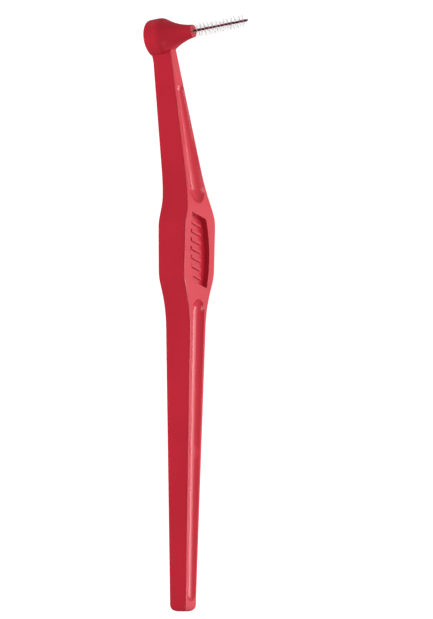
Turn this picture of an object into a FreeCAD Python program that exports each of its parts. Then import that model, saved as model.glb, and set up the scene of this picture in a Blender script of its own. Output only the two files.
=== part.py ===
import FreeCAD, Part
import Sketcher
import math
import os

# An interdental brush with an angled head, in millimetres. It lies on the flat side of its grip.
# X runs along the handle to the head, the brush points to -Y, and Z is up. The origin is the
# middle of the grip's flat side. The handle is one moulding, and the brush is one wire, folded
# and twisted, with filaments clamped between its two legs.

doc = FreeCAD.newDocument("InterdentalBrush")

# Driving sizes: alias, value, meaning. Reaches run along the handle from the middle of the grip.
SIZES = (
    ("tail_reach", 91.7, "to the tail end"),
    ("tail_width", 5.4, "side to side, at the tail end"),
    ("tail_thickness", 4.65, "front to back, at the tail end"),
    ("tail_round", 1.6, "corner radius of the tail, seen from the front and from the side"),
    ("grip_width", 15.4, "across the flat sides of the grip"),
    ("grip_thickness", 8.15, "front to back, where the neck bends off"),
    ("grip_flat_length", 13.8, "flat side that the brush lies on"),
    ("grip_corner_sweep", 8.0, "radius where a shoulder meets the flat side"),
    ("lower_shoulder_slope", 23.6, "degrees that the lower shoulder runs off the flat side"),
    ("lower_shoulder_width", 8.4, "width at its foot"),
    ("lower_shoulder_sweep", 24.0, "radius of its hollow"),
    ("upper_shoulder_slope", 21.2, "degrees that the upper shoulder runs off the flat side"),
    ("upper_shoulder_width", 9.15, "width at its foot"),
    ("upper_shoulder_sweep", 35.0, "radius of its hollow"),
    ("edge_round", 0.35, "rounding of the handle's long edges"),
    ("neck_front_bend", 9.2, "reach of the bend in the front face"),
    ("neck_back_bend", 12.3, "reach of the bend in the back face"),
    ("neck_bend_sweep", 20.0, "radius of both bends"),
    ("neck_top_thickness", 5.3, "front to back, at the brush axis"),
    ("neck_top_width", 1.9, "side to side, at the brush axis"),
    ("head_reach", 53.95, "to the point where neck and brush axes cross"),
    ("head_setback", 7.7, "how far that point lies behind the handle's middle"),
    ("brush_tilt", 10.0, "degrees that the brush axis leans towards the head end"),
    ("collar_length", 7.2, "how far down the neck the head's flare starts"),
    ("collar_top_depth", 2.8, "end of the flare inside the head, below the brush axis"),
    ("collar_flare", 2.2, "how much wider than the neck it gets on each side, at the back"),
    ("collar_inset", 0.3, "flare behind the neck's front and back faces"),
    ("collar_skin", 0.04, "start of the flare under the neck's side"),
    ("head_diameter", 9.75, "round head, across its barrel"),
    ("head_back_depth", 3.0, "back of the head, behind the neck's axis"),
    ("head_barrel_length", 4.1, "back of the head to the start of the nose"),
    ("head_shoulder_round", 3.0, "rounding between the two"),
    ("head_rim_round", 0.6, "rounding of the back rim"),
    ("nose_length", 8.12, "hollowed cone from there to the nose end"),
    ("nose_sweep", 16.5, "radius of that hollow"),
    ("nose_tip_diameter", 3.25, "flat nose end"),
    ("lower_groove_tail_reach", 87.15, "to the ball end of the lower grooves at the tail"),
    ("lower_groove_tail_half", 2.05, "half width there"),
    ("lower_groove_tail_depth", 0.8, "depth there"),
    ("lower_groove_grip_reach", 15.5, "to their ball end at the grip"),
    ("lower_groove_grip_half", 3.1, "half width there"),
    ("lower_groove_grip_depth", 1.5, "depth there"),
    ("neck_groove_grip_reach", 15.5, "to the ball end of the neck grooves at the grip"),
    ("neck_groove_grip_half", 3.7, "half width there"),
    ("neck_groove_grip_depth", 1.5, "depth there"),
    ("neck_groove_head_reach", 40.5, "to their ball end at the head"),
    ("neck_groove_head_half", 1.8, "half width there"),
    ("neck_groove_head_depth", 0.75, "depth there"),
    ("recess_depth", 1.65, "thumb recess, below the face at its thickest"),
    ("recess_side_sweep", 27.3, "radius of its bowed long sides"),
    ("recess_corner_round", 1.2, "rounding of its blunt corners"),
    ("recess_sharp_reach", 9.7, "middle of the recess to its pointed corners, lengthwise"),
    ("recess_sharp_half", 3.95, "and sideways"),
    ("recess_blunt_reach", 7.85, "middle of the recess to its blunt corners, lengthwise"),
    ("recess_blunt_half", 2.8, "and sideways"),
    ("rib_height", 0.45, "grip ribs on the floor of the recess"),
    ("rib_width", 0.7, "along the handle"),
    ("rib_pitch", 2.2, "from rib to rib"),
    ("rib_half_length", 2.3, "middle to end of a rib, sideways"),
    ("strand_diameter", 0.27, "one leg of the coated wire, across its corners"),
    ("twist_pitch", 2.27, "length of one full turn of the wire"),
    ("brush_length", 16.2, "wire in front of the nose"),
    ("stem_length", 5.8, "wire moulded into the head"),
    ("filament_thickness", 0.06, "square nylon filament"),
    ("filament_pitch", 0.096, "from filament to filament along the wire"),
    ("first_filament_gap", 0.12, "nose end to the first filament"),
    ("brush_diameter", 3.6, "tip to tip of a filament"),
    ("wire_clearance", 0.01, "wire to bore, and wire to filament"),
    ("overrun", 1.0, "how far a cut runs past the surface it opens"),
)
RIB_COUNT = 7
FAN_COUNT = 14
HEAD_SHARE = 0.75
COLLAR_SHARES = ((0, 0), (0.45, 0.1), (0.78, 0.42), (1, 1))
STRAND_SIDES = 6
STEPS_PER_TURN = 8
BEND_STEPS = 6

sheet = doc.addObject("Spreadsheet::Sheet", "size")
for row, (alias, value, meaning) in enumerate(SIZES, start=1):
    sheet.set(f"A{row}", meaning)
    sheet.set(f"B{row}", str(value))
    sheet.setAlias(f"B{row}", alias)
doc.recompute()


def number(text):
    """What an expression in the sheet's aliases gives."""
    return float(sheet.evalExpression(text))


def plane_of(body, role):
    return [item for item in body.Origin.OriginFeatures if item.Role == role][0]


def new_sketch(body, name, role, base=("0", "0", "0"), turn="0"):
    """A sketch on one of the body's planes, moved by base and turned about its own normal."""
    sketch = body.newObject("Sketcher::SketchObject", name)
    sketch.AttachmentSupport = [(plane_of(body, role), "")]
    sketch.MapMode = "FlatFace"
    spot = FreeCAD.Vector(*[number(text) for text in base])
    turned = FreeCAD.Rotation(FreeCAD.Vector(0, 0, 1), number(turn))
    sketch.AttachmentOffset = FreeCAD.Placement(spot, turned)
    for axis, text in zip("xyz", base):
        sketch.setExpression(f"AttachmentOffset.Base.{axis}", text)
    sketch.setExpression("AttachmentOffset.Rotation.Angle", turn)
    return sketch


def bind(sketch, kind, parts, text, name):
    """A dimension of the sketch, bound to an expression."""
    index = sketch.addConstraint(Sketcher.Constraint(kind, *parts, number(text)))
    sketch.renameConstraint(index, name)
    sketch.setExpression(f"Constraints.{name}", text)


def pin_point(sketch, geo, end, spot, name):
    """Holds a point of the sketch at a pair of expressions."""
    for kind, axis, text in (("DistanceX", -2, spot[0]), ("DistanceY", -1, spot[1])):
        if text == "0":
            sketch.addConstraint(Sketcher.Constraint("PointOnObject", geo, end, axis))
        else:
            bind(sketch, kind, (-1, 1, geo, end), text, f"{name}_{kind[-1]}")


def arc_between(start, end, radius):
    """An arc that bows to the right of its way, or to the left where the radius is negative.
    It comes with the numbers of its vertices at start and end."""
    if radius < 0:
        arc, last, first = arc_between(end, start, -radius)
        return arc, first, last
    chord = end - start
    left = FreeCAD.Vector(-chord.y, chord.x, 0).normalize()
    centre = (start + end) / 2 + left * math.sqrt(radius**2 - (chord.Length / 2) ** 2)
    from_angle = math.atan2(start.y - centre.y, start.x - centre.x)
    to_angle = math.atan2(end.y - centre.y, end.x - centre.x)
    circle = Part.Circle(centre, FreeCAD.Vector(0, 0, 1), radius)
    return Part.ArcOfCircle(circle, from_angle, to_angle), 1, 2


def draw_outline(sketch, corners, label="corner"):
    """A closed outline. A corner is (x, y), (x, y, rounding) or (x, y, None, sweep): the
    rounding is a tangent arc at the corner, and the sweep bows the edge that follows it."""
    spots = [FreeCAD.Vector(number(corner[0]), number(corner[1]), 0) for corner in corners]
    ways = [(b - a).normalize() for a, b in zip(spots, spots[1:] + spots[:1])]
    rounds = [number(corner[2]) if corner[2:] and corner[2] else 0 for corner in corners]
    trims = [size * math.tan(ways[i - 1].getAngle(ways[i]) / 2) for i, size in enumerate(rounds)]
    edges = []
    for i, corner in enumerate(corners):
        after = (i + 1) % len(corners)
        start = spots[i] + ways[i] * trims[i]
        end = spots[after] - ways[i] * trims[after]
        if corner[3:]:
            arc, first, last = arc_between(start, end, number(corner[3]))
            edges.append((sketch.addGeometry(arc), first, last))
            bind(sketch, "Radius", (edges[-1][0],), corner[3], f"{label}{i}_sweep")
        else:
            edges.append((sketch.addGeometry(Part.LineSegment(start, end)), 1, 2))
    for i, corner in enumerate(corners):
        come, go = edges[i - 1], edges[i]
        name = f"{label}{i}"
        if not rounds[i]:
            sketch.addConstraint(Sketcher.Constraint("Coincident", come[0], come[2], go[0], go[1]))
            pin_point(sketch, go[0], go[1], corner, name)
            continue
        start = spots[i] - ways[i - 1] * trims[i]
        end = spots[i] + ways[i] * trims[i]
        bow = math.copysign(rounds[i], ways[i - 1].cross(ways[i]).z)
        arc, first, last = arc_between(start, end, bow)
        geo = sketch.addGeometry(arc)
        sketch.addConstraint(Sketcher.Constraint("Tangent", come[0], come[2], geo, first))
        sketch.addConstraint(Sketcher.Constraint("Tangent", geo, last, go[0], go[1]))
        bind(sketch, "Radius", (geo,), corner[2], f"{name}_rounding")
        tip = sketch.addGeometry(Part.Point(spots[i]), True)
        for edge in (come, go):
            sketch.addConstraint(Sketcher.Constraint("PointOnObject", tip, 1, edge[0]))
        pin_point(sketch, tip, 1, corner, name)


def add_feature(body, kind, name, profile, **values):
    """A feature of the body on a profile; the text values are expressions."""
    feature = body.newObject(f"PartDesign::{kind}", name)
    feature.Profile = profile
    for key, value in values.items():
        if isinstance(value, str) and "size." in value:
            feature.setExpression(key, value)
        else:
            setattr(feature, key, value)
    return feature


def sharp_edges(shape, wanted):
    """Names of the edges that fold by more than a sixth of a half turn, where wanted agrees."""
    names = []
    for index, edge in enumerate(shape.Edges, start=1):
        faces = shape.ancestorsOfType(edge, Part.Face)
        middle = edge.valueAt((edge.FirstParameter + edge.LastParameter) / 2)
        normals = [face.normalAt(*face.Surface.parameter(middle)) for face in faces]
        if len(faces) == 2 and normals[0].getAngle(normals[1]) > math.pi / 6 and wanted(middle):
            names.append(f"Edge{index}")
    return names


def add_fillet(body, name, base, edges, radius):
    fillet = body.newObject("PartDesign::Fillet", name)
    fillet.Base = (base, edges)
    fillet.Radius = number(radius)
    fillet.setExpression("Radius", radius)
    doc.recompute()
    return fillet


# The handle: its side outline is padded, cut to its front outline, and rounded
handle = doc.addObject("PartDesign::Body", "handle")
handle.Label = "handle"

TILT_SINE = "sin(size.brush_tilt * 1deg)"
TILT_COSINE = "cos(size.brush_tilt * 1deg)"
TAIL_FRONT = ("-size.tail_reach", "-size.tail_thickness / 2", "size.tail_round")
TAIL_BACK = ("-size.tail_reach", "size.tail_thickness / 2", "size.tail_round")
FRONT_BEND = ("size.neck_front_bend", "-size.grip_thickness / 2", "size.neck_bend_sweep")
BACK_BEND = ("size.neck_back_bend", "size.grip_thickness / 2", "size.neck_bend_sweep")
NECK_TOP_FRONT = (
    f"size.head_reach + size.neck_top_thickness / 2 * {TILT_SINE}",
    f"size.head_setback - size.neck_top_thickness / 2 * {TILT_COSINE}",
)
NECK_TOP_BACK = (
    f"size.head_reach - size.neck_top_thickness / 2 * {TILT_SINE}",
    f"size.head_setback + size.neck_top_thickness / 2 * {TILT_COSINE}",
)
side_outline = new_sketch(handle, "side_outline", "XY_Plane")
draw_outline(
    side_outline, (TAIL_FRONT, FRONT_BEND, NECK_TOP_FRONT, NECK_TOP_BACK, BACK_BEND, TAIL_BACK)
)
add_feature(handle, "Pad", "blank", side_outline, Midplane=True,
            Length="size.grip_width + 2 * size.overrun")

front_outline = new_sketch(handle, "front_outline", "XZ_Plane")
LOWER_SHOULDER_FOOT = ("-size.grip_flat_length / 2 - (size.grip_width - size.lower_shoulder_width)"
                       " / 2 / tan(size.lower_shoulder_slope * 1deg)")
UPPER_SHOULDER_FOOT = ("size.grip_flat_length / 2 + (size.grip_width - size.upper_shoulder_width)"
                       " / 2 / tan(size.upper_shoulder_slope * 1deg)")
NECK_END = "size.head_reach + size.neck_top_thickness / 2"
far_side = (
    ("-size.tail_reach", "size.tail_width / 2", "size.tail_round"),
    (LOWER_SHOULDER_FOOT, "size.lower_shoulder_width / 2", "size.lower_shoulder_sweep"),
    ("-size.grip_flat_length / 2", "size.grip_width / 2", "size.grip_corner_sweep"),
    ("size.grip_flat_length / 2", "size.grip_width / 2", "size.grip_corner_sweep"),
    (UPPER_SHOULDER_FOOT, "size.upper_shoulder_width / 2", "size.upper_shoulder_sweep"),
    (NECK_END, "size.neck_top_width / 2"),
)
near_side = [(x, f"-({y})", *rest) for x, y, *rest in far_side]
draw_outline(front_outline, [*near_side, *reversed(far_side)])
WASTE_TAIL = "-size.tail_reach - size.overrun"
WASTE_HEAD = "size.head_reach + size.neck_top_thickness"
WASTE_HALF = "size.grip_width / 2 + 2 * size.overrun"
draw_outline(front_outline, (
    (WASTE_TAIL, f"-({WASTE_HALF})"),
    (WASTE_HEAD, f"-({WASTE_HALF})"),
    (WASTE_HEAD, WASTE_HALF),
    (WASTE_TAIL, WASTE_HALF),
), "waste")
waste = add_feature(handle, "Pocket", "waste", front_outline, Midplane=True, Type="ThroughAll")
doc.recompute()


def outside_head(point):
    centre = FreeCAD.Vector(number("size.head_reach"), number("size.head_setback"), 0)
    return point.distanceToPoint(centre) > number(f"size.neck_top_thickness * {HEAD_SHARE}")


add_fillet(handle, "rounded", waste, sharp_edges(waste.Shape, outside_head), "size.edge_round")


def at_reach(reach, start, end):
    """The second coordinate, at that reach, of the line from start to end."""
    slope = f"({end[1]} - ({start[1]})) / ({end[0]} - ({start[0]}))"
    return f"({start[1]} + ({reach} - ({start[0]})) * {slope})"


# The collar: the neck's sides flare smoothly into the head, most of all at the back
collar_sections = []
for index, (way_share, flare_share) in enumerate(COLLAR_SHARES):
    reach = f"size.head_reach - size.collar_top_depth - {1 - way_share} * size.collar_length"
    front = f"{at_reach(reach, FRONT_BEND, NECK_TOP_FRONT)} + size.collar_inset"
    back = f"{at_reach(reach, BACK_BEND, NECK_TOP_BACK)} - size.collar_inset"
    neck_half = at_reach(reach, (UPPER_SHOULDER_FOOT, "size.upper_shoulder_width / 2"),
                         (NECK_END, "size.neck_top_width / 2"))
    front_half = f"{neck_half} - size.collar_skin"
    back_half = f"{front_half} + {flare_share} * size.collar_flare"
    section = new_sketch(handle, f"collar_section_{index}", "YZ_Plane", ("0", "0", reach))
    draw_outline(section, (
        (front, f"-({front_half})"),
        (back, f"-({back_half})"),
        (back, back_half),
        (front, front_half),
    ))
    collar_sections.append(section)
add_feature(handle, "AdditiveLoft", "collar", collar_sections[0], Sections=collar_sections[1:])

# The head: round about the brush axis, with a hollowed nose
HEAD_FRAME = (("size.head_reach", "size.head_setback", "0"), "size.brush_tilt - 90")
NOSE_START = "size.head_barrel_length - size.head_back_depth"
NOSE_END = f"{NOSE_START} + size.nose_length"
head_profile = new_sketch(handle, "head_profile", "XY_Plane", *HEAD_FRAME)
draw_outline(head_profile, (
    ("-size.head_back_depth", "0"),
    ("-size.head_back_depth", "size.head_diameter / 2", "size.head_rim_round"),
    (NOSE_START, "size.head_diameter / 2", "size.head_shoulder_round", "size.nose_sweep"),
    (NOSE_END, "size.nose_tip_diameter / 2"),
    (NOSE_END, "0"),
))
head = add_feature(handle, "Revolution", "head", head_profile,
                   ReferenceAxis=(head_profile, ["H_Axis"]))
doc.recompute()


# The grooves: each is cut by a tapered round cutter with ball ends, tilted with its face
def add_groove(name, face_start, face_end, side, ends):
    """A groove in the face from face_start to face_end. The cutter's axis lies off the face, on
    the given side. Each of the two ends is a reach, a half width and a depth."""
    run = f"({face_end[0]} - ({face_start[0]}))"
    rise = f"({face_end[1]} - ({face_start[1]}))"
    turn = f"atan({rise} / {run}) / 1deg"
    sketch = new_sketch(handle, f"{name}_profile", "XY_Plane", (*face_start[:2], "0"), turn)
    centres, radii, texts = [], [], []
    for reach, half, depth in ends:
        radius = f"({half} * {half} + {depth} * {depth}) / (2 * {depth})"
        spot = (f"({reach} - ({face_start[0]})) / cos({turn} * 1deg)", f"{side} * ({radius} - {depth})")
        texts.append((spot, radius))
        centres.append(FreeCAD.Vector(number(spot[0]), number(spot[1]), 0))
        radii.append(number(radius))
    along = (centres[1] - centres[0]).normalize()
    inward = FreeCAD.Vector(-along.y, along.x, 0) * -side
    lean = math.asin((radii[0] - radii[1]) / centres[0].distanceToPoint(centres[1]))
    normal = along * math.sin(lean) + inward * math.cos(lean)
    tops = [centre + normal * radius for centre, radius in zip(centres, radii)]
    tips = [centres[0] - along * radii[0], centres[1] + along * radii[1]]
    axis = sketch.addGeometry(Part.LineSegment(*centres), True)
    base = sketch.addGeometry(Part.LineSegment(tips[1], tips[0]))
    ridge = sketch.addGeometry(Part.LineSegment(*tops))
    balls = []
    for start, end, radius in ((tips[0], tops[0], radii[0]), (tops[1], tips[1], radii[1])):
        arc, first, last = arc_between(start, end, side * radius)
        balls.append((sketch.addGeometry(arc), first, last))
    tail_ball, head_ball = balls
    for meet in (
        ("Coincident", base, 2, tail_ball[0], tail_ball[1]),
        ("Coincident", base, 1, head_ball[0], head_ball[2]),
        ("PointOnObject", base, 1, axis),
        ("PointOnObject", base, 2, axis),
        ("Tangent", tail_ball[0], tail_ball[2], ridge, 1),
        ("Tangent", ridge, 2, head_ball[0], head_ball[1]),
        ("Coincident", axis, 1, tail_ball[0], 3),
        ("Coincident", axis, 2, head_ball[0], 3),
    ):
        sketch.addConstraint(Sketcher.Constraint(*meet))
    for label, ball, (spot, radius) in zip(("tail", "head"), balls, texts):
        pin_point(sketch, ball[0], 3, spot, f"{label}_ball")
        bind(sketch, "Radius", (ball[0],), radius, f"{label}_ball_radius")
    return add_feature(handle, "Groove", name, sketch, ReferenceAxis=(sketch, ["Axis0"]))


LOWER_GROOVE_ENDS = (
    ("-size.lower_groove_tail_reach", "size.lower_groove_tail_half", "size.lower_groove_tail_depth"),
    ("-size.lower_groove_grip_reach", "size.lower_groove_grip_half", "size.lower_groove_grip_depth"),
)
NECK_GROOVE_ENDS = (
    ("size.neck_groove_grip_reach", "size.neck_groove_grip_half", "size.neck_groove_grip_depth"),
    ("size.neck_groove_head_reach", "size.neck_groove_head_half", "size.neck_groove_head_depth"),
)
add_groove("neck_front_groove", FRONT_BEND, NECK_TOP_FRONT, -1, NECK_GROOVE_ENDS)
add_groove("neck_back_groove", BACK_BEND, NECK_TOP_BACK, 1, NECK_GROOVE_ENDS)
lower_groove = add_groove("lower_groove", TAIL_FRONT, FRONT_BEND, -1, LOWER_GROOVE_ENDS)

# The thumb recess, with slanted ribs on its floor
FLOOR = ("0", "0", "size.grip_thickness / 2 - size.recess_depth")
recess_outline = new_sketch(handle, "recess_outline", "XZ_Plane", FLOOR)
right_half = (
    ("size.recess_blunt_reach", "-size.recess_blunt_half", "size.recess_corner_round"),
    ("size.recess_sharp_reach", "size.recess_sharp_half", None, "size.recess_side_sweep"),
)
left_half = [(f"-{x}", f"-({y})", *rest) for x, y, *rest in right_half]
draw_outline(recess_outline, [*right_half, *left_half])
recess = add_feature(handle, "Pocket", "recess", recess_outline, Reversed=True,
                     Length="size.recess_depth + size.overrun")

SLANT = ("(size.recess_sharp_reach - size.recess_blunt_reach)"
         " / (size.recess_sharp_half + size.recess_blunt_half)")
rib_outlines = new_sketch(handle, "rib_outlines", "XZ_Plane", FLOOR)
for index in range(RIB_COUNT):
    middle = f"{index - RIB_COUNT // 2} * size.rib_pitch"
    lean = f"size.rib_half_length * {SLANT}"
    draw_outline(rib_outlines, (
        (f"{middle} - size.rib_width / 2 - {lean}", "-size.rib_half_length"),
        (f"{middle} + size.rib_width / 2 - {lean}", "-size.rib_half_length"),
        (f"{middle} + size.rib_width / 2 + {lean}", "size.rib_half_length"),
        (f"{middle} - size.rib_width / 2 + {lean}", "size.rib_half_length"),
    ), f"rib{index}_corner")
ribs = add_feature(handle, "Pad", "ribs", rib_outlines, Length="size.rib_height")

back_features = handle.newObject("PartDesign::Mirrored", "back_features")
back_features.Originals = [lower_groove, recess, ribs]
back_features.MirrorPlane = (plane_of(handle, "XZ_Plane"), [""])
handle.Tip = back_features

# The bore that holds the stem of the wire
FLAT_SHARE = f"cos(180deg / {STRAND_SIDES})"
LEG_OFFSET = (
    f"size.strand_diameter / 2 * {FLAT_SHARE} + size.filament_thickness / 2 + size.wire_clearance"
)
bore_profile = new_sketch(handle, "bore_profile", "XY_Plane", *HEAD_FRAME)
BORE_END = f"{NOSE_END} - size.stem_length - size.wire_clearance"
BORE_RADIUS = f"{LEG_OFFSET} + size.strand_diameter / 2 + size.wire_clearance"
draw_outline(bore_profile, (
    (BORE_END, "0"),
    (BORE_END, BORE_RADIUS),
    (f"{NOSE_END} + size.overrun", BORE_RADIUS),
    (f"{NOSE_END} + size.overrun", "0"),
))
bore = add_feature(handle, "Groove", "bore", bore_profile, ReferenceAxis=(bore_profile, ["H_Axis"]))
handle.Tip = bore
handle.setExpression("Placement.Base.z", "size.grip_width / 2")

# The brush frame: its origin is the middle of the nose end, and its Z is the brush axis
tilt = math.radians(number("size.brush_tilt"))
brush_way = FreeCAD.Vector(math.sin(tilt), -math.cos(tilt), 0)
brush_side = FreeCAD.Vector(0, 0, 1)
crossing = FreeCAD.Vector(*[number(text) for text in ("size.head_reach", "size.head_setback",
                                                      "size.grip_width / 2")])
brush_turn = FreeCAD.Rotation(brush_side, brush_way.cross(brush_side), brush_way, "ZXY")
brush_frame = FreeCAD.Placement(crossing + brush_way * number(NOSE_END), brush_turn)
X_WAY, Y_WAY, Z_WAY = (FreeCAD.Vector(*way) for way in ((1, 0, 0), (0, 1, 0), (0, 0, 1)))


def moved(x, z):
    return FreeCAD.Placement(FreeCAD.Vector(x, 0, z), FreeCAD.Rotation())


def turned(way, degrees):
    return FreeCAD.Placement(FreeCAD.Vector(), FreeCAD.Rotation(way, degrees))


def add_piece(label, shape):
    piece = doc.addObject("Part::Feature", label)
    piece.Label = label
    piece.Shape = shape
    piece.Placement = brush_frame
    return piece


# The wire: one leg up, round the bend, and back down, both legs twisted about the brush axis
twist_pitch = number("size.twist_pitch")
leg_offset = number(LEG_OFFSET)
strand_radius = number("size.strand_diameter") / 2
stem_foot = -number("size.stem_length")
bend_height = number("size.brush_length") - leg_offset - strand_radius
turn_steps = math.ceil((bend_height - stem_foot) / twist_pitch * STEPS_PER_TURN)
heights = [stem_foot + (bend_height - stem_foot) * i / turn_steps for i in range(turn_steps + 1)]


def twist_at(height):
    return turned(Z_WAY, 360 * height / twist_pitch)


frames = [twist_at(height) * moved(leg_offset, height) for height in heights]
for step in range(1, BEND_STEPS):
    bend = turned(Y_WAY, -180 * step / BEND_STEPS)
    frames.append(twist_at(bend_height) * moved(0, bend_height) * bend * moved(leg_offset, 0))
for height in reversed(heights):
    frames.append(twist_at(height) * moved(0, height) * turned(Y_WAY, 180) * moved(leg_offset, 0))

corners = []
for index in range(STRAND_SIDES):
    angle = 2 * math.pi * (index + 1 / 2) / STRAND_SIDES
    corners.append(X_WAY * strand_radius * math.cos(angle) + Y_WAY * strand_radius * math.sin(angle))
sections = []
for frame in frames:
    spots = [frame.multVec(corner) for corner in corners]
    sections.append(Part.makePolygon([*spots, spots[0]]))
brush_wire = add_piece("brush_wire", Part.makeLoft(sections, True, True))

# The filaments: each lies square to the line between the two legs at its own height
filament_thickness = number("size.filament_thickness")
filament_pitch = number("size.filament_pitch")
filament_length = number("size.brush_diameter")
filament = Part.makeBox(filament_thickness, filament_length, filament_thickness)
filament.translate(FreeCAD.Vector(-filament_thickness, -filament_length, -filament_thickness) / 2)
first_height = number("size.first_filament_gap") + filament_thickness / 2
last_height = bend_height - filament_pitch
filament_count = math.floor((last_height - first_height) / filament_pitch) + 1
filaments = []
for index in range(filament_count):
    height = first_height + index * filament_pitch
    placed = filament.copy()
    placed.Placement = twist_at(height) * moved(0, height) * filament.Placement
    filaments.append(placed)
for index in range(FAN_COUNT):
    first, after = (filament_count * edge // FAN_COUNT for edge in (index, index + 1))
    add_piece(f"bristle_fan_{index + 1:02d}", Part.makeCompound(filaments[first:after]))

doc.recompute()
pieces = [handle, *[item for item in doc.Objects if item.TypeId == "Part::Feature"]]
for item in doc.Objects:
    if {"Invalid", "Error"} & set(item.State):
        raise ValueError(f"{item.Name}: {item.State}")
for piece in pieces:
    if piece.Shape.isNull() or not piece.Shape.isValid() or not piece.Shape.Solids:
        raise ValueError(f"{piece.Label} has no valid solid")
    if min(solid.Volume for solid in piece.Shape.Solids) <= 0:
        raise ValueError(f"{piece.Label} has a solid turned inside out")

os.makedirs("parts", exist_ok=True)
for piece in pieces:
    piece.Shape.exportStep(f"parts/{piece.Label}.step")
    print(piece.Label, len(piece.Shape.Solids), round(piece.Shape.Volume, 3))
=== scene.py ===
import math

import bpy
from mathutils import Matrix, Vector


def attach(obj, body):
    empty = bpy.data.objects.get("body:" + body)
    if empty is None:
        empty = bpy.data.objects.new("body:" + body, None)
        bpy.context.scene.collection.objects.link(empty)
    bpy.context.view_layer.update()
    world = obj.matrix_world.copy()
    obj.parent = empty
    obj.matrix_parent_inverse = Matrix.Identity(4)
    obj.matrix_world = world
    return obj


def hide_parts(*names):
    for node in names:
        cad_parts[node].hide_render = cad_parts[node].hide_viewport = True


# Interdental brush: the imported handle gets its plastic, and the twisted wire brush is made here
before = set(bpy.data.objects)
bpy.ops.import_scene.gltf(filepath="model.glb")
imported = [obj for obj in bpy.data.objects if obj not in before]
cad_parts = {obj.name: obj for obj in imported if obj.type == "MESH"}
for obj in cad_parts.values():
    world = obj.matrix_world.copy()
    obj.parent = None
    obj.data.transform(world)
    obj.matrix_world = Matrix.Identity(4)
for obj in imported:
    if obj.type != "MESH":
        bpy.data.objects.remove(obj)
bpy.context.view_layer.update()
mm = 0.001
plainWhite = (1, 1, 1, 1)
print("frame loaded")


def linearColour(hexText, alpha=1.0):
    parts = [int(hexText[i:i + 2], 16) / 255 for i in (1, 3, 5)]
    return [p / 12.92 if p <= 0.04045 else ((p + 0.055) / 1.055) ** 2.4 for p in parts] + [alpha]


# links: input name or number -> (node, output) or a plain value
def addNode(tree, kind, links=None, **settings):
    node = tree.nodes.new(kind)
    for name, value in settings.items():
        setattr(node, name, value)
    for name, source in (links or {}).items():
        if isinstance(source, tuple) and hasattr(source[0], "outputs"):
            tree.links.new(source[0].outputs[source[1]], node.inputs[name])
        else:
            node.inputs[name].default_value = source
    return node


def times(tree, source, factor):
    return addNode(tree, "ShaderNodeMath", {0: source, 1: factor}, operation="MULTIPLY")


def larger(tree, source, other):
    return addNode(tree, "ShaderNodeMath", {0: source, 1: other}, operation="MAXIMUM")


# A Mix node takes its colours at inputs 6 and 7 and gives the blend at output 2
def blend(tree, share, colour, other):
    return addNode(tree, "ShaderNodeMix", {
        0: share, 6: linearColour(colour), 7: linearColour(other)}, data_type="RGBA")


def newMaterial(name):
    material = bpy.data.materials.new(name)
    material.use_nodes = True
    material.node_tree.nodes.clear()
    return material, material.node_tree


# Handle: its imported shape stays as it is
mouldedHandle = {
    "colour": "#B22332",
    "deeper": "#AD2130",
    "flowWidth": 14.0,          # mm, soft bands where the melt ran
    "flowDetail": 2.0,
    "flowRoughness": 0.4,
    "flowFade": (0.35, 0.65),   # noise values between which the plain colour takes over
    "skinGrain": 0.16,          # mm, the mould's fine skin
    "skinDetail": 3.0,
    "skinDepth": 0.0018,        # mm
    "skinStrength": 0.35,
    "edgeSoftness": 0.1,        # mm, the radius a mould leaves on a sharp corner
    "edgeSamples": 6,
    "roughness": 0.21,
    "roughnessSpread": 0.04,
    "ior": 1.49,
    "specularLevel": 0.27,      # the skin mirrors less than clear polypropylene would
}


# Injection-moulded polypropylene, coloured through: even red, satin from the mould's skin
def mouldedPolypropylene(p):
    material, tree = newMaterial("moulded_polypropylene_red")
    place = addNode(tree, "ShaderNodeTexCoord")
    flow = addNode(tree, "ShaderNodeTexNoise", {
        "Vector": (place, "Object"), "Scale": 1 / (p["flowWidth"] * mm),
        "Detail": p["flowDetail"], "Roughness": p["flowRoughness"]})
    flowRamp = addNode(tree, "ShaderNodeMapRange", {
        "Value": (flow, "Fac"), "From Min": p["flowFade"][0], "From Max": p["flowFade"][1]})
    colour = blend(tree, (flowRamp, "Result"), p["deeper"], p["colour"])
    skin = addNode(tree, "ShaderNodeTexNoise", {
        "Vector": (place, "Object"), "Scale": 1 / (p["skinGrain"] * mm),
        "Detail": p["skinDetail"]})
    rough = addNode(tree, "ShaderNodeMapRange", {
        "Value": (skin, "Fac"), "To Min": p["roughness"] - p["roughnessSpread"],
        "To Max": p["roughness"] + p["roughnessSpread"]})
    softEdge = addNode(tree, "ShaderNodeBevel", {"Radius": p["edgeSoftness"] * mm},
                       samples=p["edgeSamples"])
    bump = addNode(tree, "ShaderNodeBump", {
        "Height": (skin, "Fac"), "Normal": (softEdge, "Normal"),
        "Strength": p["skinStrength"], "Distance": p["skinDepth"] * mm})
    plastic = addNode(tree, "ShaderNodeBsdfPrincipled", {
        "Base Color": (colour, 2), "Roughness": (rough, "Result"), "IOR": p["ior"],
        "Specular IOR Level": p["specularLevel"], "Normal": (bump, "Normal")})
    addNode(tree, "ShaderNodeOutputMaterial", {"Surface": (plastic, "BSDF")})
    return material


handleMaterial = mouldedPolypropylene(mouldedHandle)
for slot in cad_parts["handle"].material_slots:
    slot.material = handleMaterial
print("handle coloured")

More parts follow.
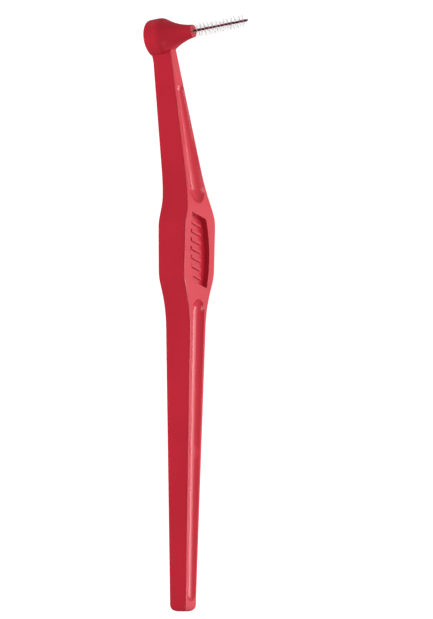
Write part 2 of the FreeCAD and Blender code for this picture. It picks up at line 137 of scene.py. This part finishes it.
# Brush: its own frame has its origin at the nose end and its Z along the brush
brushSeat = {
    "crossing": (53.95, 7.7, 7.7),   # mm, where the neck's and the brush's axes cross
    "noseReach": 9.22,               # mm, from there to the nose end
    "tilt": 10.0,                    # degrees towards the head end
    "pitch": 2.27,                   # mm, one full turn of the twist
}
tilt = math.radians(brushSeat["tilt"])
brushWay = Vector((math.sin(tilt), -math.cos(tilt), 0))
brushSide = Vector((0, 0, 1))
noseEnd = (Vector(brushSeat["crossing"]) + brushWay * brushSeat["noseReach"]) * mm
brushTurn = Matrix((brushSide, brushWay.cross(brushSide), brushWay)).transposed()
brushToFrame = Matrix.Translation(noseEnd) @ brushTurn.to_4x4()


def newTree(name, inputs):
    tree = bpy.data.node_groups.new(name, "GeometryNodeTree")
    tree.interface.new_socket("Geometry", in_out="INPUT", socket_type="NodeSocketGeometry")
    for label, kind in inputs.items():
        tree.interface.new_socket(label, in_out="INPUT", socket_type=f"NodeSocket{kind}")
    tree.interface.new_socket("Geometry", in_out="OUTPUT", socket_type="NodeSocketGeometry")
    return tree, addNode(tree, "NodeGroupInput")


def endTree(tree, geometry, material):
    real = addNode(tree, "GeometryNodeRealizeInstances", {"Geometry": geometry})
    smooth = addNode(tree, "GeometryNodeSetShadeSmooth", {"Geometry": (real, "Geometry")})
    coated = addNode(tree, "GeometryNodeSetMaterial", {
        "Geometry": (smooth, "Geometry"), "Material": material})
    addNode(tree, "NodeGroupOutput", {"Geometry": (coated, "Geometry")})


# The twist's angle at a point: one full turn about Z for each pitch of height
def twistAngle(tree, place, pitch):
    height = addNode(tree, "ShaderNodeSeparateXYZ", {0: place})
    turns = addNode(tree, "ShaderNodeMath", {0: (height, "Z"), 1: pitch}, operation="DIVIDE")
    return times(tree, (turns, 0), 2 * math.pi)


# Runs a tree on the source mesh and gives the plain result in the frame of the handle
def grow(name, source, tree, values):
    holder = bpy.data.objects.new(f"{name}_holder", source)
    bpy.context.scene.collection.objects.link(holder)
    modifier = holder.modifiers.new("nodes", "NODES")
    modifier.node_group = tree
    sockets = {item.name: item.identifier for item in tree.interface.items_tree
               if item.in_out == "INPUT"}
    for label, value in values.items():
        modifier[sockets[label]] = value
    bpy.context.view_layer.update()
    evaluated = holder.evaluated_get(bpy.context.evaluated_depsgraph_get())
    mesh = bpy.data.meshes.new_from_object(evaluated)
    mesh.name = name
    mesh.transform(brushToFrame)
    bpy.data.objects.remove(holder)    # the modifier goes with it
    piece = bpy.data.objects.new(name, mesh)
    bpy.context.scene.collection.objects.link(piece)
    return piece


# Wire: one length folded double and twisted, sizes in mm
twistedWire = {
    "length": 16.19,             # in front of the nose
    "stem": 2.0,                 # reaches back into the nose
    "legOffset": 0.185,          # from the wire's axis to the middle of a leg
    "legRadius": 0.165,
    "legSides": 12,
    "legSteps": 420,             # points along a leg
    "bendSteps": 10,             # points round the bend at the tip
    "colour": "#33010B",
    "paintedGlint": "#B8445A",           # pink painted highlight on the outer crown of each turn
    "crown": (0.275, 0.34),      # from the wire's axis, where the painted highlight starts and where it is full
    "blotch": 0.5,               # uneven coat in the bump, and uneven painted highlight
    "blotchDetail": 2.0,
    "blotchFade": (0.3, 0.6),    # noise values between which the painted highlight shows more
    "leastPaintedGlint": 0.5,            # share of the painted highlight where it shows least
    "coatDepth": 0.01,
    "coatStrength": 0.3,
    "roughness": 0.36,
    "ior": 1.5,
    "specularLevel": 0.04,
}


# Polyurethane baked on steel wire, then twisted: dark red, satin, hardly a glint from the shader;
# a pink painted highlight on the outer crown of each turn
def coatedSteelWire(p):
    material, tree = newMaterial("coated_steel_wire")
    place = addNode(tree, "ShaderNodeTexCoord")
    blotch = addNode(tree, "ShaderNodeTexNoise", {
        "Vector": (place, "Object"), "Scale": 1 / (p["blotch"] * mm),
        "Detail": p["blotchDetail"]})
    fromNose = addNode(tree, "ShaderNodeVectorMath", {
        0: (place, "Object"), 1: noseEnd}, operation="SUBTRACT")
    square = addNode(tree, "ShaderNodeVectorMath", {
        0: (fromNose, 0), 1: brushWay}, operation="CROSS_PRODUCT")
    fromAxis = addNode(tree, "ShaderNodeVectorMath", {0: (square, 0)}, operation="LENGTH")
    crown = addNode(tree, "ShaderNodeMapRange", {
        "Value": (fromAxis, "Value"), "From Min": p["crown"][0] * mm,
        "From Max": p["crown"][1] * mm})
    uneven = addNode(tree, "ShaderNodeMapRange", {
        "Value": (blotch, "Fac"), "From Min": p["blotchFade"][0],
        "From Max": p["blotchFade"][1], "To Min": p["leastPaintedGlint"]})
    # painted highlight: full on the outer crown of each leg, made uneven by the noise
    paintedGlint = times(tree, (crown, "Result"), (uneven, "Result"))
    colour = blend(tree, (paintedGlint, 0), p["colour"], p["paintedGlint"])
    bump = addNode(tree, "ShaderNodeBump", {
        "Height": (blotch, "Fac"), "Strength": p["coatStrength"],
        "Distance": p["coatDepth"] * mm})
    coat = addNode(tree, "ShaderNodeBsdfPrincipled", {
        "Base Color": (colour, 2), "Roughness": p["roughness"], "IOR": p["ior"],
        "Specular IOR Level": p["specularLevel"], "Normal": (bump, "Normal")})
    addNode(tree, "ShaderNodeOutputMaterial", {"Surface": (coat, "BSDF")})
    return material


# Up one leg, round the bend and down the other, still straight: the tree twists both
def hairpin(p):
    offset, steps = p["legOffset"] * mm, p["legSteps"]
    foot = -p["stem"] * mm
    top = (p["length"] - p["legOffset"] - p["legRadius"]) * mm
    spots = [(offset, 0, foot + (top - foot) * i / steps) for i in range(steps)]
    for i in range(p["bendSteps"] + 1):
        angle = math.pi * i / p["bendSteps"]
        spots.append((offset * math.cos(angle), 0, top + offset * math.sin(angle)))
    spots += [(-x, y, z) for x, y, z in reversed(spots[:steps])]
    mesh = bpy.data.meshes.new("hairpin")
    mesh.from_pydata(spots, [(i, i + 1) for i in range(len(spots) - 1)], [])
    return mesh


wireTree, wireIn = newTree("twistedWire", {
    "Pitch": "Float", "Leg radius": "Float", "Sides": "Int"})
wirePlace = addNode(wireTree, "GeometryNodeInputPosition")
wireAngle = twistAngle(wireTree, (wirePlace, 0), (wireIn, "Pitch"))
wireTurned = addNode(wireTree, "ShaderNodeVectorRotate", {
    "Vector": (wirePlace, 0), "Angle": (wireAngle, 0)}, rotation_type="Z_AXIS")
wireTwist = addNode(wireTree, "GeometryNodeSetPosition", {
    "Geometry": (wireIn, "Geometry"), "Position": (wireTurned, 0)})
wireCurve = addNode(wireTree, "GeometryNodeMeshToCurve", {"Mesh": (wireTwist, "Geometry")})
wireRound = addNode(wireTree, "GeometryNodeCurvePrimitiveCircle", {
    "Resolution": (wireIn, "Sides"), "Radius": (wireIn, "Leg radius")})
wireTube = addNode(wireTree, "GeometryNodeCurveToMesh", {
    "Curve": (wireCurve, "Curve"), "Profile Curve": (wireRound, "Curve"), "Fill Caps": True})
endTree(wireTree, (wireTube, "Mesh"), coatedSteelWire(twistedWire))
wire = grow("twisted_wire", hairpin(twistedWire), wireTree, {
    "Pitch": brushSeat["pitch"] * mm,
    "Leg radius": twistedWire["legRadius"] * mm,
    "Sides": twistedWire["legSides"],
})
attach(wire, "root")
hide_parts("brush_wire")
print("wire twisted")

# Filaments: each lies nearly square to the line between the two legs, sizes in mm
nylonFilaments = {
    "count": 260,
    "first": 0.15,          # from the nose end to the first one
    "end": 15.75,           # from the nose end to where their row ends
    "across": 3.53,         # tip to tip
    "width": 0.032,
    "sides": 5,
    "steps": 4,             # straight pieces in the bow of one
    "sag": 0.07,            # how far the tips stand back from the middle
    "lean": 0.06,           # radians that one may lean along the wire
    "turn": 0.6,            # radians that one may stray from the twist
    "seed": 7,
    "colour": "#C6C8C7",
    "cloudy": "#A6AAAC",
    "cloudLength": 0.4,
    "cloudDetail": 1.0,
    "roughness": 0.18,
    "transmission": 0.97,   # clear, so that the wire behind stays dark
    "ior": 1.45,
}


# Extruded nylon, clear and a little cloudy: so thin that it reads as a pale haze
def clearNylon(p):
    material, tree = newMaterial("extruded_nylon_filament")
    place = addNode(tree, "ShaderNodeTexCoord")
    cloud = addNode(tree, "ShaderNodeTexNoise", {
        "Vector": (place, "Object"), "Scale": 1 / (p["cloudLength"] * mm),
        "Detail": p["cloudDetail"]})
    colour = blend(tree, (cloud, "Fac"), p["colour"], p["cloudy"])
    nylon = addNode(tree, "ShaderNodeBsdfPrincipled", {
        "Base Color": (colour, 2), "Roughness": p["roughness"], "IOR": p["ior"],
        "Transmission Weight": p["transmission"]})
    addNode(tree, "ShaderNodeOutputMaterial", {"Surface": (nylon, "BSDF")})
    return material


filamentTree, filamentIn = newTree("filamentSpiral", {
    "Start": "Float", "Height": "Float", "Count": "Int", "Across": "Float", "Width": "Float",
    "Sides": "Int", "Steps": "Int", "Sag": "Float", "Pitch": "Float", "Seed": "Int"})
filamentGap = addNode(filamentTree, "ShaderNodeMath", {
    0: (filamentIn, "Height"), 1: (filamentIn, "Count")}, operation="DIVIDE")
firstPlace = addNode(filamentTree, "ShaderNodeCombineXYZ", {"Z": (filamentIn, "Start")})
nextPlace = addNode(filamentTree, "ShaderNodeCombineXYZ", {"Z": (filamentGap, 0)})
places = addNode(filamentTree, "GeometryNodeMeshLine", {
    "Count": (filamentIn, "Count"), "Start Location": (firstPlace, 0),
    "Offset": (nextPlace, 0)})
halfAcross = times(filamentTree, (filamentIn, "Across"), 0.5)
minusHalf = times(filamentTree, (halfAcross, 0), -1.0)
minusSag = times(filamentTree, (filamentIn, "Sag"), -1.0)
tipOne = addNode(filamentTree, "ShaderNodeCombineXYZ", {
    "Y": (halfAcross, 0), "Z": (minusSag, 0)})
tipTwo = addNode(filamentTree, "ShaderNodeCombineXYZ", {
    "Y": (minusHalf, 0), "Z": (minusSag, 0)})
arch = addNode(filamentTree, "ShaderNodeCombineXYZ", {"Z": (filamentIn, "Sag")})
filamentBow = addNode(filamentTree, "GeometryNodeCurveQuadraticBezier", {
    "Resolution": (filamentIn, "Steps"), "Start": (tipOne, 0), "Middle": (arch, 0),
    "End": (tipTwo, 0)})
halfWidth = times(filamentTree, (filamentIn, "Width"), 0.5)
filamentRound = addNode(filamentTree, "GeometryNodeCurvePrimitiveCircle", {
    "Resolution": (filamentIn, "Sides"), "Radius": (halfWidth, 0)})
filamentTube = addNode(filamentTree, "GeometryNodeCurveToMesh", {
    "Curve": (filamentBow, "Curve"), "Profile Curve": (filamentRound, "Curve"),
    "Fill Caps": True})
filamentPlace = addNode(filamentTree, "GeometryNodeInputPosition")
filamentAngle = twistAngle(filamentTree, (filamentPlace, 0), (filamentIn, "Pitch"))
twistTurn = addNode(filamentTree, "ShaderNodeCombineXYZ", {"Z": (filamentAngle, 0)})
mostStray = Vector((nylonFilaments["lean"], 0.0, nylonFilaments["turn"]))
stray = addNode(filamentTree, "FunctionNodeRandomValue", {
    "Min": -mostStray, "Max": mostStray, "Seed": (filamentIn, "Seed")},
    data_type="FLOAT_VECTOR")
filamentTurn = addNode(filamentTree, "ShaderNodeVectorMath", {
    0: (twistTurn, 0), 1: (stray, 0)}, operation="ADD")
copies = addNode(filamentTree, "GeometryNodeInstanceOnPoints", {
    "Points": (places, "Mesh"), "Instance": (filamentTube, "Mesh"),
    "Rotation": (filamentTurn, 0)})
endTree(filamentTree, (copies, "Instances"), clearNylon(nylonFilaments))
filaments = grow("nylon_filaments", bpy.data.meshes.new("empty"), filamentTree, {
    "Start": nylonFilaments["first"] * mm,
    "Height": (nylonFilaments["end"] - nylonFilaments["first"]) * mm,
    "Count": nylonFilaments["count"],
    "Across": nylonFilaments["across"] * mm,
    "Width": nylonFilaments["width"] * mm,
    "Sides": nylonFilaments["sides"],
    "Steps": nylonFilaments["steps"],
    "Sag": nylonFilaments["sag"] * mm,
    "Pitch": brushSeat["pitch"] * mm,
    "Seed": nylonFilaments["seed"],
})
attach(filaments, "root")
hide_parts(*[f"bristle_fan_{index:02d}" for index in range(1, 15)])
print("filaments grown")

# Stage: a lit table under the brush, and white all round it for the camera
stage = {
    "floorSize": 3.0,                   # m
    "floorColour": "#8A8A8A",
    "glow": 0.95,                       # what the table lights the brush with, as a light box
    "seenGlow": 0.9,                    # the same as seen: the lamps' light makes it white
    "ambient": 0.15,                    # light from all round
    "sweepWay": (0.0, -0.85, -0.53),    # where sheen shows a white sweep
    "sweepFade": (0.3, 0.85),           # cosines from there between which it fades in
}


def studioFloor(p):
    material, tree = newMaterial("studio_floor")
    ray = addNode(tree, "ShaderNodeLightPath")
    paper = addNode(tree, "ShaderNodeBsdfDiffuse", {"Color": linearColour(p["floorColour"])})
    clear = larger(tree, (ray, "Is Camera Ray"), (ray, "Is Transmission Ray"))
    seen = larger(tree, (clear, 0), (ray, "Is Glossy Ray"))
    strength = addNode(tree, "ShaderNodeMapRange", {
        "Value": (seen, 0), "To Min": p["glow"], "To Max": p["seenGlow"]})
    glow = addNode(tree, "ShaderNodeEmission", {
        "Color": plainWhite, "Strength": (strength, 0)})
    both = addNode(tree, "ShaderNodeAddShader", {0: (paper, 0), 1: (glow, 0)})
    addNode(tree, "ShaderNodeOutputMaterial", {"Surface": (both, 0)})
    half = p["floorSize"] / 2
    mesh = bpy.data.meshes.new("studio_floor")
    mesh.from_pydata([(-half, -half, 0), (half, -half, 0), (half, half, 0), (-half, half, 0)],
                     [], [(0, 1, 2, 3)])
    mesh.materials.append(material)
    floor = bpy.data.objects.new("studio_floor", mesh)
    bpy.context.scene.collection.objects.link(floor)
    floor.visible_shadow = False    # the lamps under the table shine through it
    floor.visible_glossy = False    # sheen shows those lamps and the white sweep instead


# White to the camera and through the filaments; in sheen only the sweep is white
def whiteSurround(p):
    world = bpy.data.worlds.new("white_surround")
    bpy.context.scene.world = world
    world.use_nodes = True
    tree = world.node_tree
    tree.nodes.clear()
    ray = addNode(tree, "ShaderNodeLightPath")
    place = addNode(tree, "ShaderNodeTexCoord")
    toSweep = addNode(tree, "ShaderNodeVectorMath", {
        0: (place, "Generated"), 1: p["sweepWay"]}, operation="DOT_PRODUCT")
    sweep = addNode(tree, "ShaderNodeMapRange", {
        "Value": (toSweep, "Value"), "From Min": p["sweepFade"][0],
        "From Max": p["sweepFade"][1]})
    inSheen = times(tree, (ray, "Is Glossy Ray"), (sweep, "Result"))
    clear = larger(tree, (ray, "Is Camera Ray"), (ray, "Is Transmission Ray"))
    seen = larger(tree, (clear, 0), (inSheen, 0))
    soft = addNode(tree, "ShaderNodeBackground", {
        "Color": plainWhite, "Strength": p["ambient"]})
    white = addNode(tree, "ShaderNodeBackground", {"Color": plainWhite, "Strength": 1.0})
    mix = addNode(tree, "ShaderNodeMixShader", {0: (seen, 0), 1: (soft, 0), 2: (white, 0)})
    addNode(tree, "ShaderNodeOutputWorld", {"Surface": (mix, 0)})


studioFloor(stage)
whiteSurround(stage)

# Lamps: each stands off its middle along its way and faces it; sizes in m, power in W
lampDistance = 0.9
gripMiddle = (-0.016, 0, 0.007)
tailMiddle = (-0.09, 0, 0.007)
lamps = {
    "back_softbox": {
        "way": (0, 1, 0.78), "size": (0.4, 0.4), "power": 10.5, "middle": gripMiddle,
        "inSheen": False},    # its glint would ride on the handle's back edge
    "front_tail_softbox": {
        "way": (-0.5, -1, 0.45), "size": (0.35, 0.35), "power": 3.0, "middle": gripMiddle,
        "inSheen": True},
    "front_head_softbox": {
        "way": (0.5, -1, 0.45), "size": (0.35, 0.35), "power": 3.0, "middle": gripMiddle,
        "inSheen": True},
    "table_strip": {          # from under the table: the streak in the grooves
        "way": (0, -0.7, -0.71), "size": (0.59, 0.14), "power": 2.8, "middle": tailMiddle,
        "inSheen": True},
    "table_fill": {           # the same, wider: the streak's soft right side
        "way": (0, -0.85, -0.53), "size": (0.59, 0.26), "power": 2.2, "middle": tailMiddle,
        "inSheen": True},
}


def softbox(name, p):
    light = bpy.data.lights.new(name, "AREA")
    light.shape = "RECTANGLE"
    light.size, light.size_y = p["size"]
    light.energy = p["power"]
    lamp = bpy.data.objects.new(name, light)
    way = Vector(p["way"]).normalized()
    lamp.location = Vector(p["middle"]) + way * lampDistance
    lamp.rotation_euler = way.to_track_quat("Z", "Y").to_euler()
    lamp.visible_glossy = p["inSheen"]
    bpy.context.scene.collection.objects.link(lamp)


for lampName, lampSettings in lamps.items():
    softbox(lampName, lampSettings)

# Camera: looks across the plain side, with the head end up in the picture
view = {
    "aside": 30.0,                   # degrees from the side face towards the front
    "lean": 0.57,                    # degrees that the handle leans to the right
    "lens": 1000.0,                  # mm
    "sensor": 36.0,                  # mm
    "pictureHeight": 157.0,          # mm across the frame at the brush
    "middle": (-15.11, 0.0, 7.7),    # mm
    "shiftRight": 7.76,              # mm
}
aside, lean = math.radians(view["aside"]), math.radians(view["lean"])
headWay = Vector((1, 0, 0))
plainRight = Vector((0, -math.cos(aside), -math.sin(aside)))
right = plainRight * math.cos(lean) + headWay * math.sin(lean)
up = headWay * math.cos(lean) - plainRight * math.sin(lean)
back = right.cross(up)
cameraData = bpy.data.cameras.new("camera")
cameraData.sensor_fit = "VERTICAL"
cameraData.sensor_height = view["sensor"]
cameraData.lens = view["lens"]
camera = bpy.data.objects.new("camera", cameraData)
distance = view["pictureHeight"] * mm * view["lens"] / view["sensor"]
target = Vector(view["middle"]) * mm + right * view["shiftRight"] * mm
cameraTurn = Matrix((right, up, back)).transposed()
camera.matrix_world = Matrix.Translation(target + back * distance) @ cameraTurn.to_4x4()
bpy.context.scene.collection.objects.link(camera)
bpy.context.scene.camera = camera
bpy.context.scene.view_settings.view_transform = "Standard"
print("stage set")
